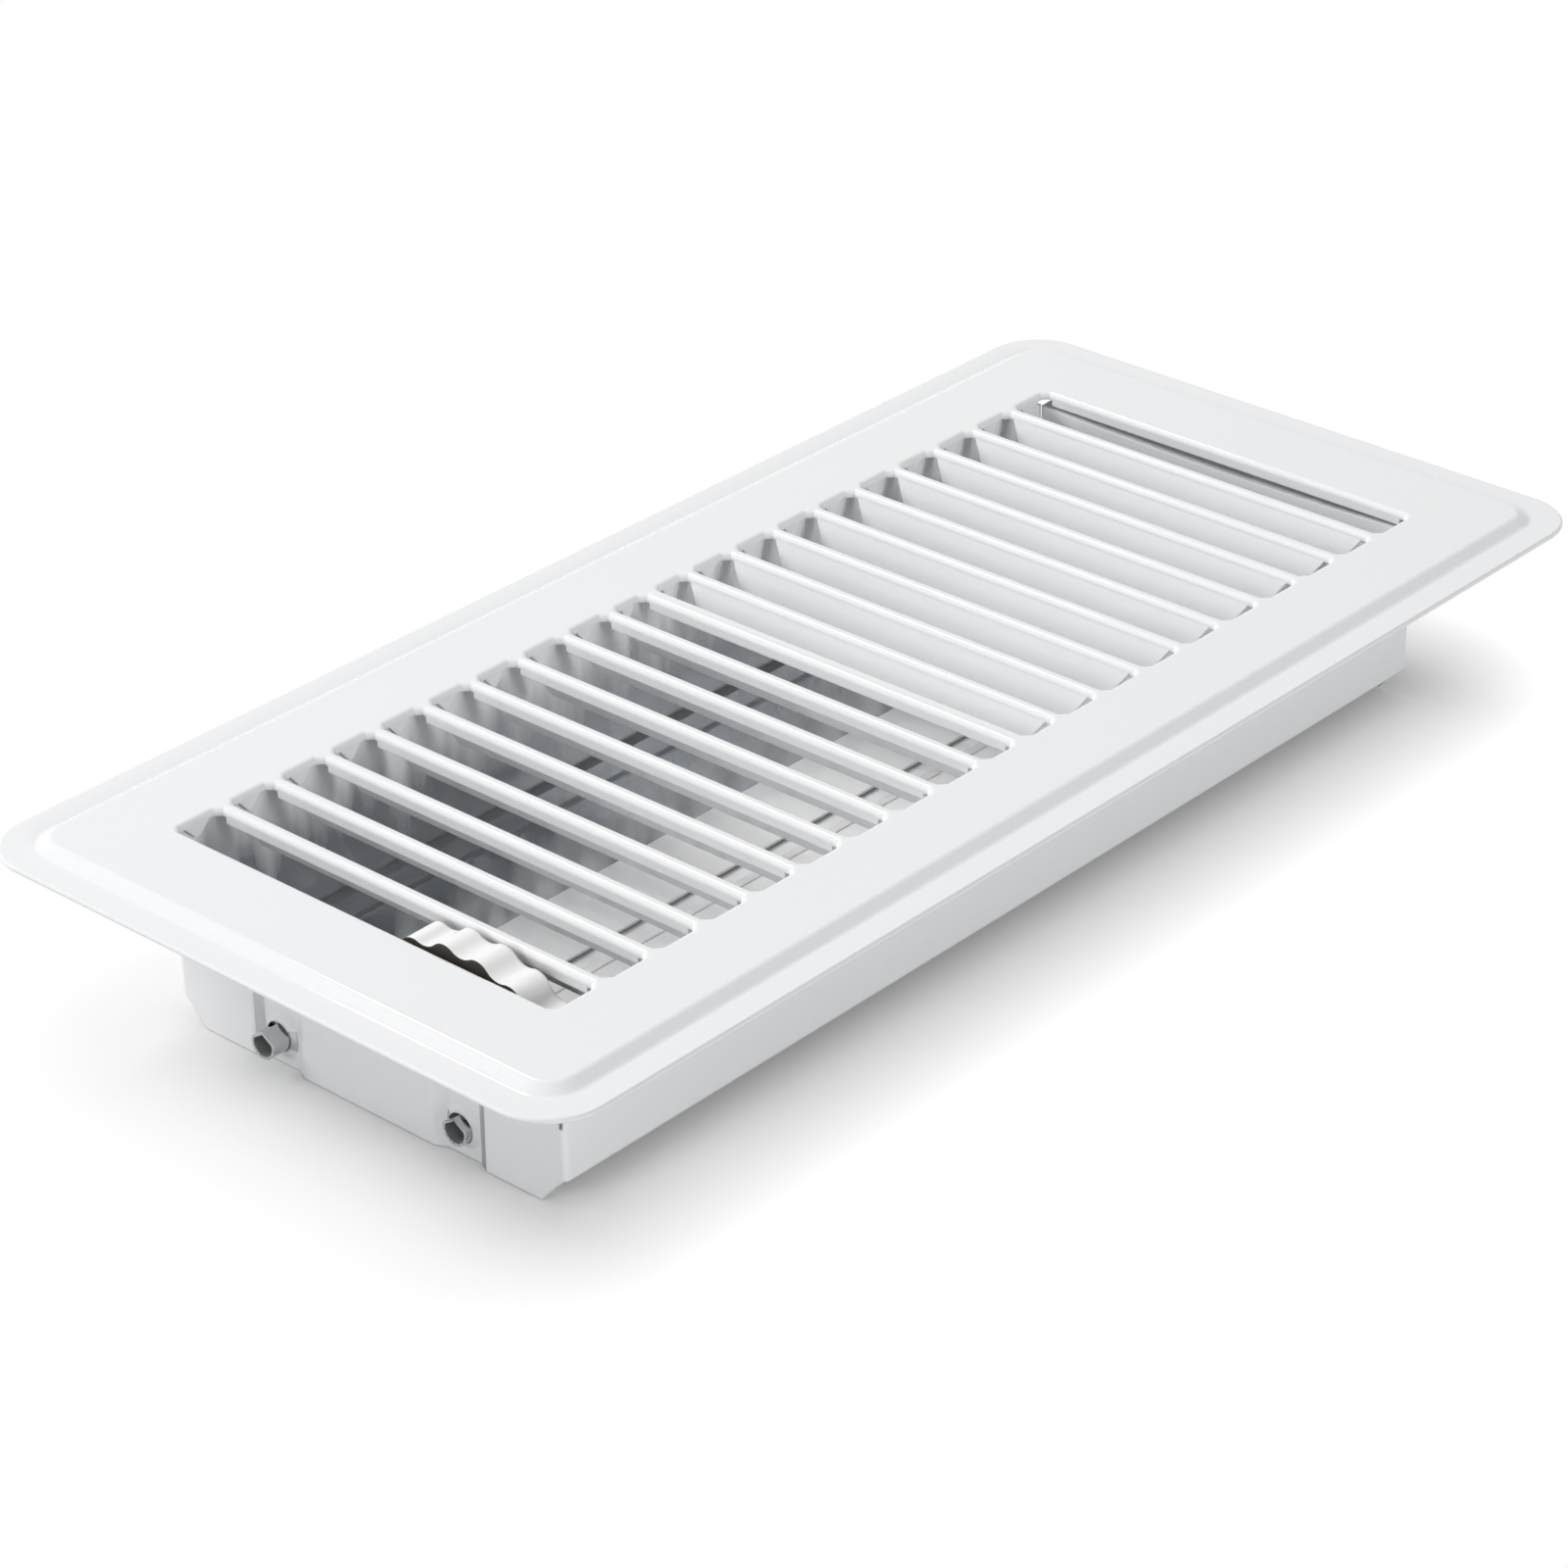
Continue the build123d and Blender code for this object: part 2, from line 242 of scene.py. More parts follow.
    def facing(self) -> bpy.types.NodeSocket:
        """Which way the shaded point's face looks in the same frame."""
        return self.add("ShaderNodeTexCoord").outputs["Normal"]


@dataclass
class GroupShell:
    """An empty shader node group with named sockets.

    Args:
        name: The group's name.
        takes: Input name to its kind and default.
        gives: Output name to its kind.
    """

    name: str
    takes: dict[str, tuple[Socket, Any]]
    gives: dict[str, Socket]

    def open(self) -> tuple[Graph, dict[str, Any], dict[str, Any]]:
        """Make the group.

        Returns:
            The group's graph, its input sockets by name and its output sockets by name.
        """
        tree = bpy.data.node_groups.new(self.name, "ShaderNodeTree")
        for name, (kind, default) in self.takes.items():
            socket = tree.interface.new_socket(name=name, in_out="INPUT", socket_type=kind.value)
            socket.default_value = default
        for name, kind in self.gives.items():
            tree.interface.new_socket(name=name, in_out="OUTPUT", socket_type=kind.value)
        graph = Graph(tree)
        entry = graph.add("NodeGroupInput")
        leave = graph.add("NodeGroupOutput")
        takes = {name: entry.outputs[name] for name in self.takes}
        gives = {name: leave.inputs[name] for name in self.gives}
        return graph, takes, gives


def surface_drift(detail: float = 3.0, gain: float = 0.55) -> bpy.types.NodeTree:
    """Slow change of tone and gloss over a finish.

    Args:
        detail: Number of finer layers in the clouds.
        gain: Weight of each layer.

    Returns:
        The group, which puts out a colour and a roughness.
    """
    shell = GroupShell(
        "surface_drift",
        {
            "Colour": (Socket.COLOUR, WHITE),
            "Tone": (Socket.VALUE, 0.02),
            "Roughness": (Socket.VALUE, 0.3),
            "Spread": (Socket.VALUE, 0.05),
            "Scale": (Socket.VALUE, 30.0),
        },
        {"Colour": Socket.COLOUR, "Roughness": Socket.VALUE},
    )
    graph, takes, gives = shell.open()
    cloud = graph.noise(graph.place(), takes["Scale"], detail, gain)
    swing = graph.math("SUBTRACT", cloud, NOISE_MEAN)
    light = graph.math("ADD", 1.0, graph.product(swing, takes["Tone"]))
    graph.feed(gives["Colour"], graph.mix_colours(1.0, takes["Colour"], light, "MULTIPLY"))
    shift = graph.product(swing, takes["Spread"])
    graph.feed(gives["Roughness"], graph.math("ADD", takes["Roughness"], shift))
    return graph.tree


def orange_peel(detail: float = 1.0, gain: float = 0.4, fineness: float = 4.0) -> bpy.types.NodeTree:
    """Fine waviness of a sprayed skin.

    Args:
        detail: Number of finer layers in the waves and the grain.
        gain: Weight of each layer of the waves.
        fineness: How many times finer the grain is than the waves.

    Returns:
        The group, which puts out a height from 0 to about 1.
    """
    shell = GroupShell(
        "orange_peel",
        {"Scale": (Socket.VALUE, 700.0), "Pits": (Socket.VALUE, 0.2)},
        {"Height": Socket.VALUE},
    )
    graph, takes, gives = shell.open()
    place = graph.place()
    ripple = graph.noise(place, takes["Scale"], detail, gain)
    grain = graph.noise(place, graph.product(takes["Scale"], fineness), detail)
    graph.feed(gives["Height"], graph.math("ADD", ripple, graph.product(grain, takes["Pits"])))
    return graph.tree


def zinc_spangle(
    line_scales: Scales = (12.0, 900.0, 900.0), flake_tone: float = 0.6, flake_height: float = 0.25
) -> bpy.types.NodeTree:
    """Crystal flakes and rolling lines of zinc-coated steel.

    Args:
        line_scales: Lines per metre along x, y and z.
        flake_tone: Weight of the flakes in the tone.
        flake_height: Weight of the flakes in the height.

    Returns:
        The group, which puts out a tone from 0 to about 1 and a height.
    """
    shell = GroupShell(
        "zinc_spangle",
        {"Flakes": (Socket.VALUE, 160.0), "Lines": (Socket.VALUE, 0.3)},
        {"Tone": Socket.VALUE, "Height": Socket.VALUE},
    )
    graph, takes, gives = shell.open()
    place = graph.place()
    flakes = {"Vector": place, "Scale": takes["Flakes"], "Randomness": 1.0}
    flake_colour = graph.add("ShaderNodeTexVoronoi", flakes).outputs["Color"]
    shade = graph.add("ShaderNodeSeparateColor", {0: flake_colour}).outputs[0]
    lines = graph.noise(graph.stretch(place, line_scales), 1.0)
    drawn = graph.product(lines, takes["Lines"])
    graph.feed(gives["Tone"], graph.math("ADD", graph.product(shade, flake_tone), drawn))
    graph.feed(gives["Height"], graph.math("ADD", graph.product(shade, flake_height), drawn))
    return graph.tree


def bore_mask() -> bpy.types.NodeTree:
    """Mask of the inside of a tube that runs along x.

    Returns:
        The group, which takes the tube's place and puts out 1 on the faces that look at its axis.
    """
    shell = GroupShell(
        "bore_mask",
        {"Y": (Socket.VALUE, 0.0), "Z": (Socket.VALUE, 0.0), "Radius": (Socket.VALUE, 0.003)},
        {"Mask": Socket.VALUE},
    )
    graph, takes, gives = shell.open()
    _, y, z = graph.split(graph.place())
    _, facing_y, facing_z = graph.split(graph.facing())
    across = graph.math("SUBTRACT", y, takes["Y"])
    above = graph.math("SUBTRACT", z, takes["Z"])
    outward = graph.math("ADD", graph.product(across, facing_y), graph.product(above, facing_z))
    inward = graph.math("LESS_THAN", outward, 0.0)
    near = graph.math("LESS_THAN", graph.length(across, above), takes["Radius"])
    graph.feed(gives["Mask"], graph.product(inward, near))
    return graph.tree


def painted_light_mask() -> bpy.types.NodeTree:
    """Mask of the painted light on the blades: white that stands in for the light falling through the
    louvers.

    Returns:
        The group, which puts out 1 on the painted light. It takes the painted light's edge across the box,
        its reach along the box from the middle, and the least share of a face's normal along z that it
        covers.
    """
    shell = GroupShell(
        "painted_light_mask",
        {"Edge": (Socket.VALUE, 0.0), "Reach": (Socket.VALUE, 0.1), "Upward": (Socket.VALUE, 0.0)},
        {"Mask": Socket.VALUE},
    )
    graph, takes, gives = shell.open()
    x, y, _ = graph.split(graph.place())
    facing_z = graph.split(graph.facing())[2]
    # Faces ahead of the edge, within the reach and looking up enough get the white painted light.
    ahead = graph.math("LESS_THAN", y, takes["Edge"])
    within = graph.math("LESS_THAN", graph.math("ABSOLUTE", x), takes["Reach"])
    upward = graph.math("GREATER_THAN", facing_z, takes["Upward"])
    graph.feed(gives["Mask"], graph.product(ahead, within, upward))
    return graph.tree


@dataclass
class Effects:
    """The node groups that the finishes share.

    Args:
        drift: Slow change of tone and gloss.
        peel: Waviness of a sprayed skin.
        spangle: Flakes and lines of zinc.
        bore: Mask of a tube's inside.
        painted_light: Mask of the white painted light on the blades.
    """

    drift: bpy.types.NodeTree = field(default_factory=surface_drift)
    peel: bpy.types.NodeTree = field(default_factory=orange_peel)
    spangle: bpy.types.NodeTree = field(default_factory=zinc_spangle)
    bore: bpy.types.NodeTree = field(default_factory=bore_mask)
    painted_light: bpy.types.NodeTree = field(default_factory=painted_light_mask)


@dataclass
class Layer:
    """Sockets of one skin on their way to the shader.

    Args:
        colour: Base colour.
        roughness: Roughness.
        height: Height of the fine relief, from 0 to about 1.
    """

    colour: bpy.types.NodeSocket
    roughness: bpy.types.NodeSocket
    height: bpy.types.NodeSocket


@dataclass(frozen=True)
class Spray:
    """A sprayed or moulded skin, such as white enamel.

    Args:
        colour: Base colour, linear.
        roughness: Mean roughness.
        peel_scale: Waves of the skin per metre.
        tone: Share by which the tone drifts.
        spread: Span over which the roughness drifts.
    """

    colour: Colour
    roughness: float
    peel_scale: float
    tone: float = 0.015
    spread: float = 0.06

    def layer(self, graph: Graph, effects: Effects) -> Layer:
        """Lay the skin's nodes.

        Args:
            graph: The material's graph.
            effects: The shared node groups.

        Returns:
            The skin's sockets.
        """
        inputs = {
            "Colour": (*self.colour, 1.0),
            "Tone": self.tone,
            "Roughness": self.roughness,
            "Spread": self.spread,
        }
        drift = graph.group(effects.drift, inputs)
        peel = graph.group(effects.peel, {"Scale": self.peel_scale})
        return Layer(drift["Colour"], drift["Roughness"], peel["Height"])


@dataclass(frozen=True)
class Zinc:
    """Bare zinc-coated steel.

    Args:
        dark: Colour of the darkest flakes, linear.
        light: Colour of the lightest flakes, linear.
        roughness: Mean roughness.
        flakes: Flakes per metre.
        lines: Weight of the rolling or drawing lines.
        tone: Share by which the tone drifts.
        spread: Span over which the roughness drifts.
    """

    dark: Colour
    light: Colour
    roughness: float
    flakes: float
    lines: float = 0.3
    tone: float = 0.04
    spread: float = 0.04

    def layer(self, graph: Graph, effects: Effects) -> Layer:
        """Lay the skin's nodes.

        Args:
            graph: The material's graph.
            effects: The shared node groups.

        Returns:
            The skin's sockets.
        """
        zinc = graph.group(effects.spangle, {"Flakes": self.flakes, "Lines": self.lines})
        inputs = {
            "Colour": graph.mix_colours(zinc["Tone"], (*self.dark, 1.0), (*self.light, 1.0)),
            "Tone": self.tone,
            "Roughness": self.roughness,
            "Spread": self.spread,
        }
        drift = graph.group(effects.drift, inputs)
        return Layer(drift["Colour"], drift["Roughness"], zinc["Height"])


def blend_layers(graph: Graph, share: Any, first: Layer, second: Layer) -> Layer:
    """Mix two skins.

    Args:
        graph: The material's graph.
        share: How much of the second skin shows.
        first: First skin.
        second: Second skin.

    Returns:
        The mixed skin.
    """
    return Layer(
        graph.mix_colours(share, first.colour, second.colour),
        graph.mix_values(share, first.roughness, second.roughness),
        graph.mix_values(share, first.height, second.height),
    )


@dataclass
class Coating:
    """One material: a Principled shader that takes one skin.

    Args:
        name: The material's name.
        relief: Depth of the skin's fine relief in metres.
        softness: Radius at which edges are seen as rounded, in metres.
    """

    name: str
    relief: float
    softness: float
    material: bpy.types.Material = field(init=False)
    graph: Graph = field(init=False)

    def __post_init__(self) -> None:
        """Make the material and its graph."""
        self.material = bpy.data.materials.new(self.name)
        self.material.use_nodes = True
        self.graph = Graph(self.material.node_tree)

    def finish(self, layer: Layer, metallic: Any, gloss: Any) -> bpy.types.Material:
        """Join a skin to the shader.

        Args:
            layer: The skin.
            metallic: Metallic share, as a value or a socket.
            gloss: Weight of the clear top layer, as a value or a socket.

        Returns:
            The material.
        """
        graph = self.graph
        shader = graph.tree.nodes["Principled BSDF"]
        rounded = graph.add("ShaderNodeBevel", {"Radius": self.softness}, samples=BEVEL_SAMPLES).outputs[0]
        relief = {"Height": layer.height, "Distance": self.relief, "Normal": rounded}
        graph.feed(shader.inputs["Base Color"], layer.colour)
        graph.feed(shader.inputs["Roughness"], layer.roughness)
        graph.feed(shader.inputs["Normal"], graph.add("ShaderNodeBump", relief).outputs[0])
        graph.feed(shader.inputs["Metallic"], metallic)
        graph.feed(shader.inputs["Coat Weight"], gloss)
        graph.feed(shader.inputs["Coat Roughness"], COAT_ROUGHNESS)
        return self.material


ENAMEL = Spray(colour=(0.8, 0.808, 0.818), roughness=0.5, peel_scale=700.0)
RIM_PAINT = Spray(colour=(0.88, 0.88, 0.875), roughness=0.4, peel_scale=400.0)
# White for the front of the blades' upper faces, which is painted light.
BLADE_PAINTED_LIGHT = Spray(colour=(0.93, 0.932, 0.935), roughness=0.4, peel_scale=500.0)
# Near black for the wheel's flanks, which is painted shade.
DARK_FLANK_SHADE = Spray(colour=(0.045, 0.04, 0.032), roughness=0.45, peel_scale=400.0)
SHEET_ZINC = Zinc(dark=(0.47, 0.49, 0.505), light=(0.6, 0.615, 0.63), roughness=0.09, flakes=160.0)
WALL_ZINC = Zinc(dark=(0.42, 0.44, 0.455), light=(0.54, 0.555, 0.57), roughness=0.24, flakes=160.0)
DULL_ZINC = Zinc(dark=(0.22, 0.225, 0.23), light=(0.34, 0.345, 0.35), roughness=0.6, flakes=400.0)
# Dark zinc for the end flanges' tops, which is painted shade.
FLANGE_SHADE_ZINC = Zinc(dark=(0.38, 0.41, 0.425), light=(0.5, 0.53, 0.545), roughness=0.6, flakes=400.0)
WIRE_ZINC = Zinc(dark=(0.5, 0.51, 0.52), light=(0.72, 0.73, 0.74), roughness=0.3, flakes=400.0, lines=0.5)


def put_on(node: str, material: bpy.types.Material) -> bpy.types.Object:
    """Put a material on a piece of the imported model.

    Args:
        node: The piece's name.
        material: The material.

    Returns:
        The dressed object.
    """
    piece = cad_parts[node]
    piece.data.materials.clear()
    piece.data.materials.append(material)
    log.info("%s dressed in %s", node, material.name)
    return piece


@dataclass
class Faceplate:
    """Stamped louver plate in white enamel.

    Args:
        node: The piece's name.
        softness: Radius of the enamel over sharp edges.
        peel: Depth of the enamel's waviness.
        gloss: Weight of the enamel's clear surface.
    """

    node: str = "faceplate"
    softness: float = 0.45 * MM
    peel: float = 0.002 * MM
    gloss: float = 1.0

    def dress(self, effects: Effects) -> bpy.types.Object:
        """Cover the plate with enamel.

        Args:
            effects: The shared node groups.

        Returns:
            The dressed object.
        """
        coating = Coating("faceplate_enamel", self.peel, self.softness)
        return put_on(self.node, coating.finish(ENAMEL.layer(coating.graph, effects), 0.0, self.gloss))


@dataclass
class DamperBox:
    """Folded drop-in box in enamel, with bare zinc low inside its side walls, white painted light on their
    upper parts, and dark zinc on its end flanges' tops as painted shade.

    Args:
        node: The piece's name.
        softness: Radius of the enamel over sharp edges.
        peel: Depth of the enamel's waviness.
        gloss: Weight of the enamel's clear surface.
        lean: How far towards the middle a side wall's face has to look to count as its inside: the share of
            its normal times its distance from the middle, in metres.
        bare_below: Height below which the side walls' insides are bare.
        painted_light_above: Height above which the side walls' insides are white, painted light for the
            light that falls through the louvers.
        streaks: Streaks of that painted light per metre.
        streak_stretch: How many times longer than wide a streak is.
        unevenness: Span over which the streaks shift the painted light's edge.
        flange_from: Distance from the middle beyond which the end flanges lie.
        flange_above: Height above which they lie.
        upward: Share of a face's normal along z from which it counts as an upper face.
    """

    node: str = "damper_box"
    softness: float = 0.7 * MM
    peel: float = 0.003 * MM
    gloss: float = 0.3
    lean: float = 0.01
    bare_below: float = 19.0 * MM
    painted_light_above: float = 32.0 * MM
    streaks: float = 180.0
    streak_stretch: float = 12.0
    unevenness: float = 38.0 * MM
    flange_from: float = 119.9 * MM
    flange_above: float = 34.0 * MM
    upward: float = 0.25

    def flange_painted_shade(self, graph: Graph) -> bpy.types.NodeSocket:
        """Mask of the end flanges' upper faces, which lie under the panel and get dark zinc as painted
        shade.

        Args:
            graph: The material's graph.

        Returns:
            A socket that is 1 on those faces.
        """
        x, _, z = graph.split(graph.place())
        facing_z = graph.split(graph.facing())[2]
        outer = graph.math("GREATER_THAN", graph.math("ABSOLUTE", x), self.flange_from)
        high = graph.math("GREATER_THAN", z, self.flange_above)
        upper = graph.math("GREATER_THAN", facing_z, self.upward)
        return graph.product(outer, high, upper)

    def zinc_below_painted_light(self, graph: Graph) -> bpy.types.NodeSocket:
        """Mask of the bare zinc on the side walls' insides, below streaks of white painted light.

        Args:
            graph: The material's graph.

        Returns:
            A socket that is 1 on bare zinc, 0 on the painted light and between them where it thins out.
        """
        place = graph.place()
        _, y, z = graph.split(place)
        facing_y = graph.split(graph.facing())[1]
        inward = graph.math("LESS_THAN", graph.product(y, facing_y), -self.lean)
        scales = (self.streaks, self.streaks, self.streaks / self.streak_stretch)
        streak = graph.noise(graph.stretch(place, scales), 1.0)
        shift = graph.product(graph.math("SUBTRACT", streak, NOISE_MEAN), self.unevenness)
        # The white that this ramp brings in on the upper side walls inside is painted light, in streaks.
        painted = graph.ramp(graph.math("ADD", z, shift), self.bare_below, self.painted_light_above)
        return graph.product(inward, graph.math("SUBTRACT", 1.0, painted))

    def dress(self, effects: Effects) -> bpy.types.Object:
        """Cover the box with enamel, with white painted light over bare zinc inside the side walls and dark
        zinc on the end flanges' tops as painted shade.

        Args:
            effects: The shared node groups.

        Returns:
            The dressed object.
        """
        coating = Coating("box_enamel_zinc_painted_light_and_shade", self.peel, self.softness)
        graph = coating.graph
        bare = self.zinc_below_painted_light(graph)
        # The end flanges' tops are coloured dark zinc as painted shade for the gap under the panel.
        flange = self.flange_painted_shade(graph)
        walls = blend_layers(graph, bare, ENAMEL.layer(graph, effects), WALL_ZINC.layer(graph, effects))
        layer = blend_layers(graph, flange, walls, FLANGE_SHADE_ZINC.layer(graph, effects))
        gloss = graph.mix_values(graph.math("MAXIMUM", bare, flange), self.gloss, 0.0)
        return put_on(self.node, coating.finish(layer, bare, gloss))


@dataclass
class DamperBlade:
    """Blade of bright zinc sheet, rolled round a hollow shaft, with the front of its upper face white as
    painted light.

    Args:
        node: The piece's name.
        shaft_y: Place of the shaft across the box.
        shaft_z: Height of the shaft.
        shaft_radius: Outer radius of the shaft.
        relief: Depth of the zinc's flakes.
        softness: Radius of the sheet's edges.
        painted_light_end: Place across the box where the white painted light on the upper faces ends.
        painted_light_reach: Half the length that the painted light covers, which leaves the stubs outside
            the box bare.
        painted_light_upward: Least share of a face's normal along z that the painted light covers.
        gloss: Weight of the clear surface on the painted light.
    """

    node: str
    shaft_y: float
    shaft_z: float = 6.05 * MM
    shaft_radius: float = 2.8 * MM
    relief: float = 0.004 * MM
    softness: float = 0.15 * MM
    painted_light_end: float = 15.5 * MM
    painted_light_reach: float = 119.5 * MM
    painted_light_upward: float = -0.2
    gloss: float = 0.8

    def dress(self, effects: Effects) -> bpy.types.Object:
        """Make the sheet bright, the front of its upper face white as painted light, and the shaft's bore
        dull.

        Args:
            effects: The shared node groups.

        Returns:
            The dressed object.
        """
        coating = Coating(f"{self.node}_zinc", self.relief, self.softness)
        graph = coating.graph
        tube = {"Y": self.shaft_y, "Z": self.shaft_z, "Radius": self.shaft_radius}
        bore = graph.group(effects.bore, tube)["Mask"]
        # The white on the front of the upper faces is painted light, standing in for the light that reaches
        # the blades through the louvers; paint and sprayed carry it.
        sprayed = {"Edge": self.painted_light_end, "Reach": self.painted_light_reach, "Upward": self.painted_light_upward}
        paint = graph.group(effects.painted_light, sprayed)["Mask"]
        zinc = SHEET_ZINC.layer(graph, effects)
        sheet = blend_layers(graph, paint, zinc, BLADE_PAINTED_LIGHT.layer(graph, effects))
        layer = blend_layers(graph, bore, sheet, DULL_ZINC.layer(graph, effects))
        bright = graph.math("SUBTRACT", 1.0, graph.math("MAXIMUM", bore, paint))
        return put_on(self.node, coating.finish(layer, bright, graph.product(paint, self.gloss)))


@dataclass
class Thumbwheel:
    """Wheel with a white rim and near-black flanks, whose dark colour is painted shade.

    Args:
        node: The piece's name.
        softness: Radius of the rim's edges.
        peel: Depth of the paint's waviness.
        gloss: Weight of the paint's clear surface.
        flank: Share of a face's normal along the shaft from which it counts as a flank.
        feather: Span over which the white rim fades into the flanks' painted shade.
    """

    node: str = "thumbwheel"
    softness: float = 0.7 * MM
    peel: float = 0.006 * MM
    gloss: float = 0.9
    flank: float = 0.9
    feather: float = 0.08

    def dress(self, effects: Effects) -> bpy.types.Object:
        """Colour the rim white and the flanks near black as painted shade.

        Args:
            effects: The shared node groups.

        Returns:
            The dressed object.
        """
        coating = Coating("wheel_paint_and_flank_shade", self.peel, self.softness)
        graph = coating.graph
        along = graph.math("ABSOLUTE", graph.split(graph.facing())[0])
        # This share mixes in the flanks' near-black colour, which is painted shade.
        bare = graph.ramp(along, self.flank - self.feather, self.flank)
        layer = blend_layers(graph, bare, RIM_PAINT.layer(graph, effects), DARK_FLANK_SHADE.layer(graph, effects))
        return put_on(self.node, coating.finish(layer, 0.0, graph.mix_values(bare, self.gloss, 0.0)))


@dataclass
class LinkWire:
    """Drawn wire that joins the two blades.

    Args:
        node: The piece's name.
        relief: Depth of the drawing lines.
        softness: Radius of the cut ends' edges.
    """

    node: str = "link_wire"
    relief: float = 0.006 * MM
    softness: float = 0.3 * MM

    def dress(self, effects: Effects) -> bpy.types.Object:
        """Cover the wire with drawn zinc.

        Args:
            effects: The shared node groups.

        Returns:
            The dressed object.
        """
        coating = Coating("wire_zinc", self.relief, self.softness)
        return put_on(self.node, coating.finish(WIRE_ZINC.layer(coating.graph, effects), 1.0, 0.0))


@dataclass(frozen=True)
class SoftLamp:
    """Square lamp that looks at the part.

    Args:
        name: The lamp's name.
        toward: Direction from the part to the lamp.
        size: Width of the lamp.
        level: How bright the lamp alone makes a white face that looks straight at it.
        in_reflections: Whether glossy surfaces mirror it.
        distance: Distance from the part.
    """

    name: str
    toward: Place
    size: float
    level: float
    in_reflections: bool = False
    distance: float = 3.0

    def build(self) -> bpy.types.Object:
        """Make the lamp.

        Returns:
            The lamp's object.
        """
        light = bpy.data.lights.new(self.name, "AREA")
        light.shape = "SQUARE"
        light.size = self.size
        light.energy = self.level * (math.pi * self.distance) ** 2
        lamp = bpy.data.objects.new(self.name, light)
        way = Vector(self.toward).normalized()
        lamp.location = way * self.distance
        lamp.rotation_mode = "QUATERNION"
        lamp.rotation_quaternion = way.to_track_quat("Z", "Y")
        lamp.visible_glossy = self.in_reflections
        bpy.context.scene.collection.objects.link(lamp)
        log.info("%s lit", self.name)
        return lamp


KEY = SoftLamp("key_lamp", toward=(-0.32, 0.69, 0.65), size=1.5, level=0.9)
EDGE = SoftLamp("edge_lamp", toward=(0.3, 0.58, 0.755), size=0.4, level=0.13, in_reflections=True)
LEFT_FILL = SoftLamp("left_fill", toward=(-0.91, 0.0, 0.42), size=1.0, level=0.25)
FRONT_FILL = SoftLamp("front_fill", toward=(0.0, -0.966, 0.26), size=1.0, level=0.43)


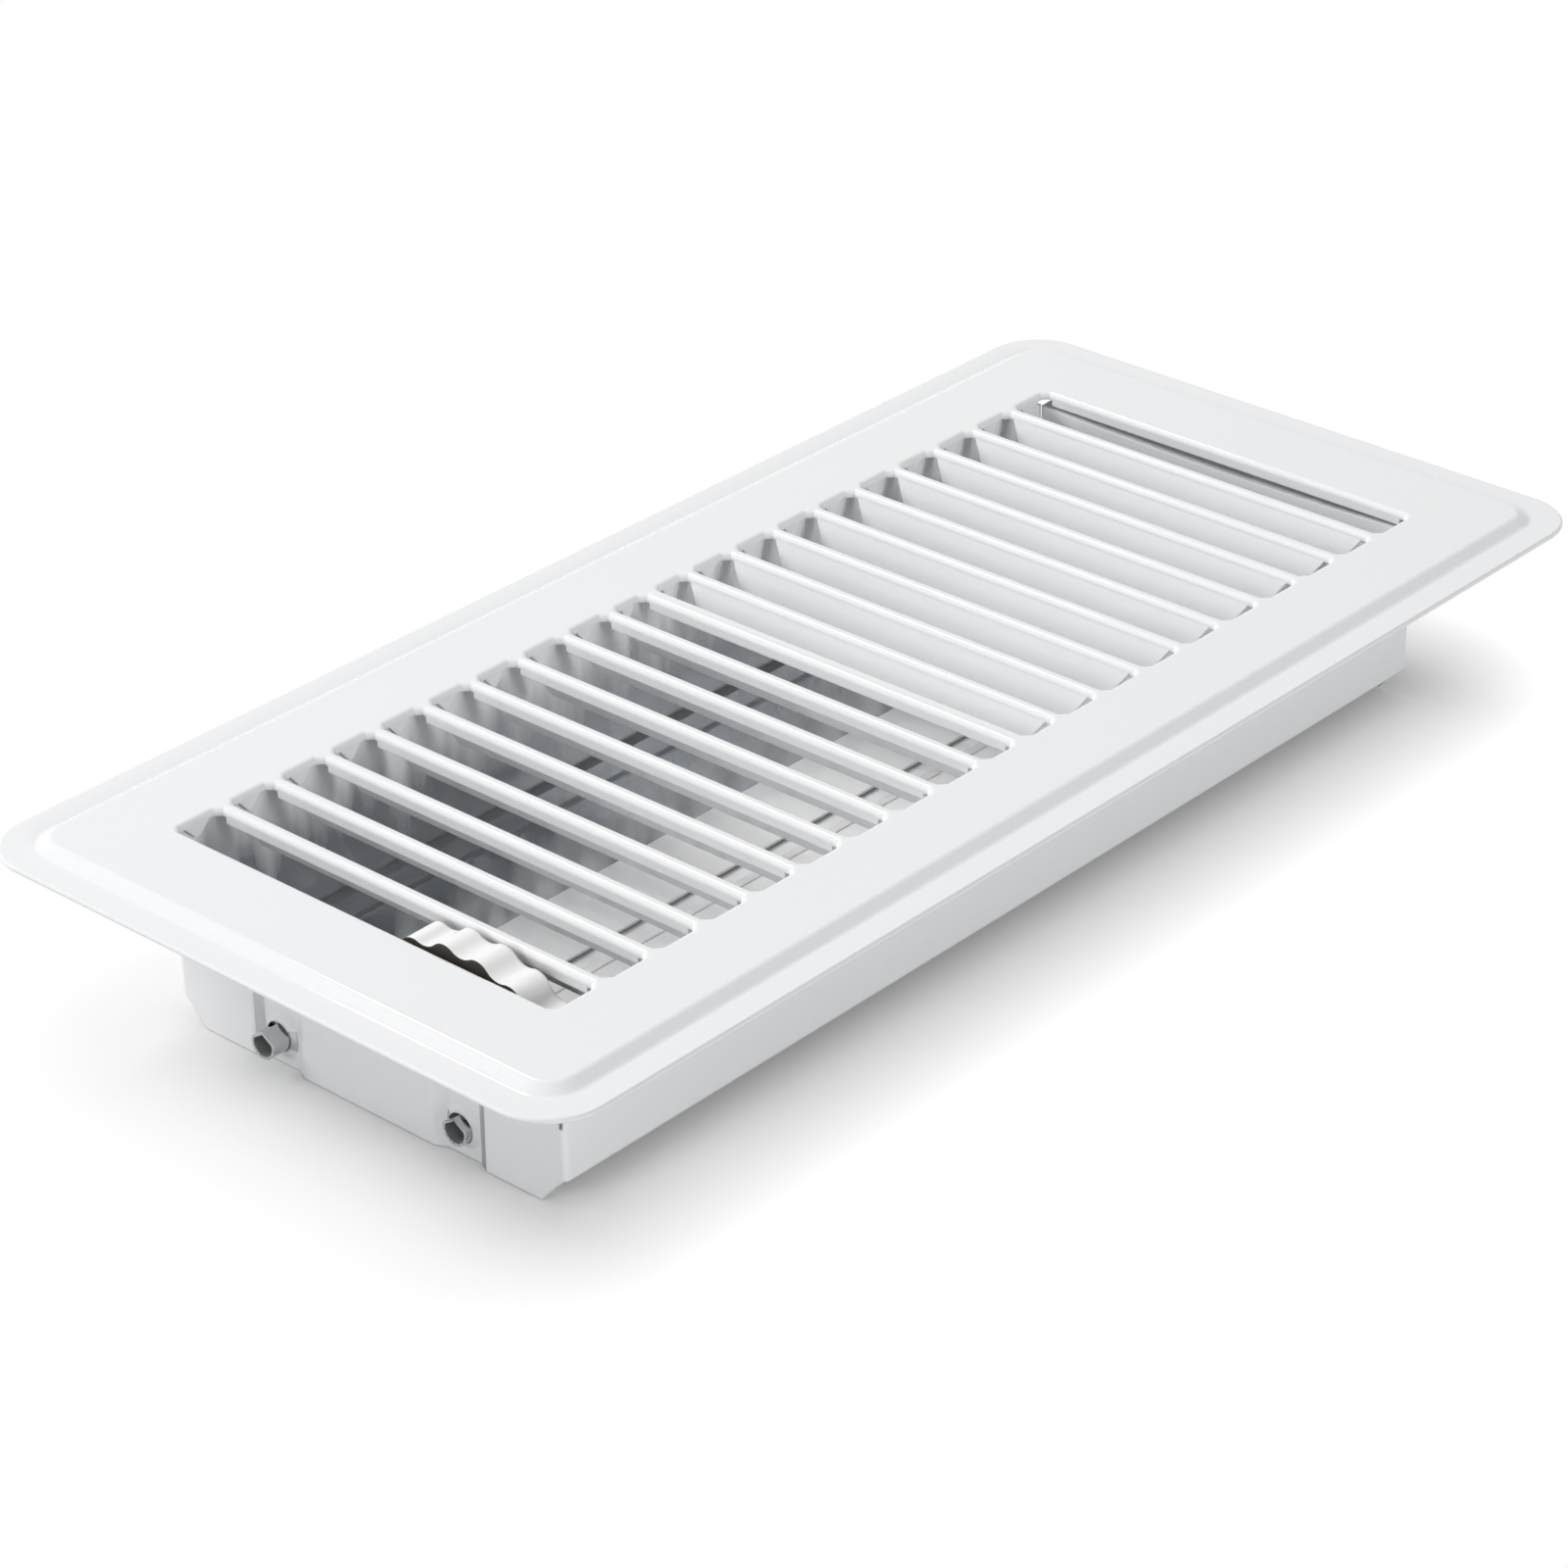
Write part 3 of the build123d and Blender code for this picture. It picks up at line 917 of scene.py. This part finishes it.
@dataclass
class Studio:
    """White floor, lamps and even fill.

    Args:
        floor_half: Half the floor's width.
        floor_drop: Depth of the floor under the part.
        floor_colour: Grey level of the floor, linear.
        near_glow: Share of plain white in the floor's look under and beside the part.
        far_glow: The same share away from the part.
        fade: Distance over which the floor goes from the near share to the far one.
        glow_from: Half the length and width of the outline from which that distance counts.
        fill: Strength of the fill from all round.
        lamps: The lamps.
    """

    floor_half: float = 4.0
    floor_drop: float = 0.1 * MM
    floor_colour: float = 0.72
    near_glow: float = 0.05
    far_glow: float = 1.0
    fade: float = 0.034
    glow_from: tuple[float, float] = (0.1207, 0.0371)
    fill: float = 0.16
    lamps: tuple[SoftLamp, ...] = (KEY, EDGE, LEFT_FILL, FRONT_FILL)

    def white_to_sight(self, graph: Graph) -> bpy.types.NodeSocket:
        """Mask of the rays that see the set as white.

        Args:
            graph: The graph that gets the nodes.

        Returns:
            A socket that is 1 for those rays.
        """
        path = graph.add("ShaderNodeLightPath")
        seen = [path.outputs[ray.value] for ray in Ray]
        return reduce(lambda first, second: graph.math("MAXIMUM", first, second), seen)

    def away_from_part(self, graph: Graph) -> bpy.types.NodeSocket:
        """Distance on the floor from the outline at which its glow starts to grow.

        Args:
            graph: The floor material's graph.

        Returns:
            The distance's socket, which is 0 inside the outline.
        """
        beyond = []
        for place, half in zip(graph.split(graph.place()), self.glow_from):
            past = graph.math("SUBTRACT", graph.math("ABSOLUTE", place), half)
            beyond.append(graph.math("MAXIMUM", past, 0.0))
        return graph.length(*beyond)

    def floor_material(self) -> bpy.types.Material:
        """Make the floor's pale matt material, which is seen as plain white away from the part.

        Returns:
            The material.
        """
        material = bpy.data.materials.new("floor_white")
        material.use_nodes = True
        graph = Graph(material.node_tree)
        shader = graph.tree.nodes["Principled BSDF"]
        graph.feed(shader.inputs["Base Color"], (self.floor_colour,) * 3 + (1.0,))
        graph.feed(shader.inputs["Roughness"], 1.0)
        graph.feed(shader.inputs["Specular IOR Level"], 0.0)
        glow = graph.add("ShaderNodeEmission", {"Color": WHITE, "Strength": 1.0})
        fading = graph.ramp(self.away_from_part(graph), 0.0, self.fade, self.near_glow, self.far_glow)
        share = graph.product(self.white_to_sight(graph), fading)
        mix = graph.add("ShaderNodeMixShader", {0: share, 1: shader.outputs[0], 2: glow.outputs[0]})
        graph.feed(graph.tree.nodes["Material Output"].inputs["Surface"], mix.outputs[0])
        return material

    def build_floor(self) -> bpy.types.Object:
        """Make the floor.

        Returns:
            The floor's object.
        """
        mesh = bpy.data.meshes.new("floor")
        shape = bmesh.new()
        half = self.floor_half
        corners = [(-half, -half), (half, -half), (half, half), (-half, half)]
        shape.faces.new([shape.verts.new((x, y, -self.floor_drop)) for x, y in corners])
        shape.to_mesh(mesh)
        shape.free()
        mesh.materials.append(self.floor_material())
        floor = bpy.data.objects.new("floor", mesh)
        bpy.context.scene.collection.objects.link(floor)
        log.info("floor laid")
        return floor

    def build_world(self) -> None:
        """Fill from all round, which the camera and reflections see as white."""
        world = bpy.data.worlds.new("studio")
        world.use_nodes = True
        bpy.context.scene.world = world
        graph = Graph(world.node_tree)
        back = graph.tree.nodes["Background"]
        graph.feed(back.inputs["Color"], WHITE)
        graph.feed(back.inputs["Strength"], graph.mix_values(self.white_to_sight(graph), self.fill, 1.0))

    def build(self) -> None:
        """Make the floor, fill and lamps."""
        self.build_floor()
        self.build_world()
        for lamp in self.lamps:
            lamp.build()


@dataclass
class PhotoCamera:
    """Camera at the photograph's place.

    Args:
        place: Where it stands.
        yaw: Heading from +X towards +Y, in degrees.
        pitch: How far it looks down, in degrees.
        roll: Turn about its line of sight, in degrees.
        lens: Focal length for the sensor width, in millimetres.
        sensor: Sensor width, in millimetres.
    """

    place: Place = (-0.575166, -0.501710, 0.437433)
    yaw: float = 41.738
    pitch: float = 29.049
    roll: float = -0.566
    lens: float = 107.118
    sensor: float = 36.0

    def turn(self) -> Matrix:
        """Work out which way the camera points.

        Returns:
            The camera's rotation.
        """
        yaw, pitch, roll = (math.radians(angle) for angle in (self.yaw, self.pitch, self.roll))
        ahead = Vector((math.cos(yaw) * math.cos(pitch), math.sin(yaw) * math.cos(pitch), -math.sin(pitch)))
        level = ahead.cross(UP).normalized()
        upright = level.cross(ahead)
        right = math.cos(roll) * level + math.sin(roll) * upright
        up = math.cos(roll) * upright - math.sin(roll) * level
        return Matrix((right, up, -ahead)).transposed().to_4x4()

    def build(self) -> bpy.types.Object:
        """Make the camera and give it to the scene.

        Returns:
            The camera's object.
        """
        data = bpy.data.cameras.new("photo_camera")
        data.lens = self.lens
        data.sensor_width = self.sensor
        camera = bpy.data.objects.new("photo_camera", data)
        camera.matrix_world = Matrix.Translation(self.place) @ self.turn()
        bpy.context.scene.collection.objects.link(camera)
        bpy.context.scene.camera = camera
        return camera


def main() -> None:
    """Dress the pieces and set the scene."""
    logging.basicConfig(level=logging.INFO)
    bpy.context.scene.view_settings.view_transform = "Standard"
    effects = Effects()
    pieces = [
        Faceplate(),
        DamperBox(),
        DamperBlade("front_blade", -SHAFT_SPREAD / 2),
        DamperBlade("rear_blade", SHAFT_SPREAD / 2),
        Thumbwheel(),
        LinkWire(),
    ]
    for piece in pieces:
        piece.dress(effects)
    Studio().build()
    PhotoCamera().build()


if __name__ == "__main__":
    main()
